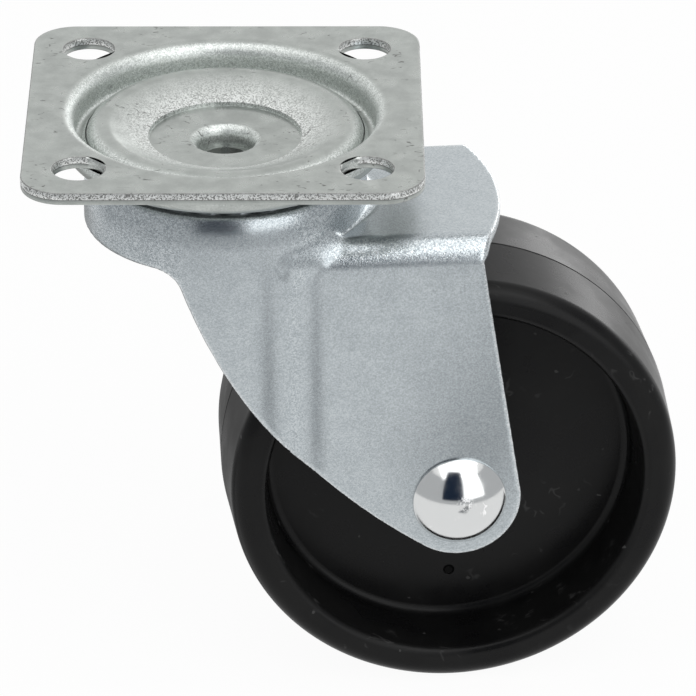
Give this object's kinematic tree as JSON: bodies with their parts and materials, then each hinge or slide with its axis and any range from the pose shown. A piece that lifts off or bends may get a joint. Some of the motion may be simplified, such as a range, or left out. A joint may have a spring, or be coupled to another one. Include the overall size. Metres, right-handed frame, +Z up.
{
  "type": "furniture swivel castor",
  "caption": "Furniture swivel castor with a pressed square mounting plate, a folded sheet-steel fork on ball rows and a recessed plastic wheel on a riveted axle.",
  "frame": {"origin": "centre of the mounting plate's flat top face, on the swivel axis", "axes": "+Z up along the swivel axis, out of the plate's top; +X from the swivel axis towards the trailing wheel when the fork is straight, along the plate's sides; +Y across"},
  "size_m": [0.07, 0.042, 0.0667],
  "materials": {
    "plate_steel": "dull zinc plate",
    "fork_steel": "bright bluish zinc plate",
    "polished_steel": "polished",
    "wheel_plastic": "semi-gloss black"
  },
  "bodies": {
    "plate": {"top_plate": "plate_steel", "lower_bearing_cup": "plate_steel"},
    "fork_unit": {"fork": "fork_steel", "axle_rivet": "polished_steel", "axle_sleeve": "polished_steel"},
    "wheel_unit": {"wheel": "wheel_plastic"},
    "upper_row": {"upper_ball_01": "polished_steel", "upper_ball_02": "polished_steel", "upper_ball_03": "polished_steel", "upper_ball_04": "polished_steel", "upper_ball_05": "polished_steel", "upper_ball_06": "polished_steel", "upper_ball_07": "polished_steel", "upper_ball_08": "polished_steel", "upper_ball_09": "polished_steel", "upper_ball_10": "polished_steel", "upper_ball_11": "polished_steel", "upper_ball_12": "polished_steel", "upper_ball_13": "polished_steel", "upper_ball_14": "polished_steel", "upper_ball_15": "polished_steel", "upper_ball_16": "polished_steel", "upper_ball_17": "polished_steel", "upper_ball_18": "polished_steel", "upper_ball_19": "polished_steel", "upper_ball_20": "polished_steel", "upper_ball_21": "polished_steel", "upper_ball_22": "polished_steel"},
    "lower_row": {"lower_ball_01": "polished_steel", "lower_ball_02": "polished_steel", "lower_ball_03": "polished_steel", "lower_ball_04": "polished_steel", "lower_ball_05": "polished_steel", "lower_ball_06": "polished_steel", "lower_ball_07": "polished_steel", "lower_ball_08": "polished_steel", "lower_ball_09": "polished_steel", "lower_ball_10": "polished_steel", "lower_ball_11": "polished_steel", "lower_ball_12": "polished_steel", "lower_ball_13": "polished_steel", "lower_ball_14": "polished_steel", "lower_ball_15": "polished_steel", "lower_ball_16": "polished_steel", "lower_ball_17": "polished_steel", "lower_ball_18": "polished_steel", "lower_ball_19": "polished_steel"}
  },
  "joints": [
    {"name": "swivel", "type": "hinge", "parent": "plate", "child": "fork_unit", "pos_m": [0, 0, 0], "axis": [0, 0, 1], "continuous": true},
    {"name": "wheel_spin", "type": "hinge", "parent": "fork_unit", "child": "wheel_unit", "pos_m": [0.02389, 0.0023, -0.0419], "axis": [-0.0958, 0.9954, 0], "continuous": true},
    {"name": "upper_row_roll", "type": "hinge", "parent": "plate", "child": "upper_row", "pos_m": [0, 0, 0], "axis": [0, 0, 1], "continuous": true},
    {"name": "lower_row_roll", "type": "hinge", "parent": "plate", "child": "lower_row", "pos_m": [0, 0, 0], "axis": [0, 0, 1], "continuous": true}
  ],
  "couplings": [
    {"joint": "upper_row_roll", "follows": "swivel", "ratio": 0.5},
    {"joint": "lower_row_roll", "follows": "swivel", "ratio": 0.5}
  ]
}
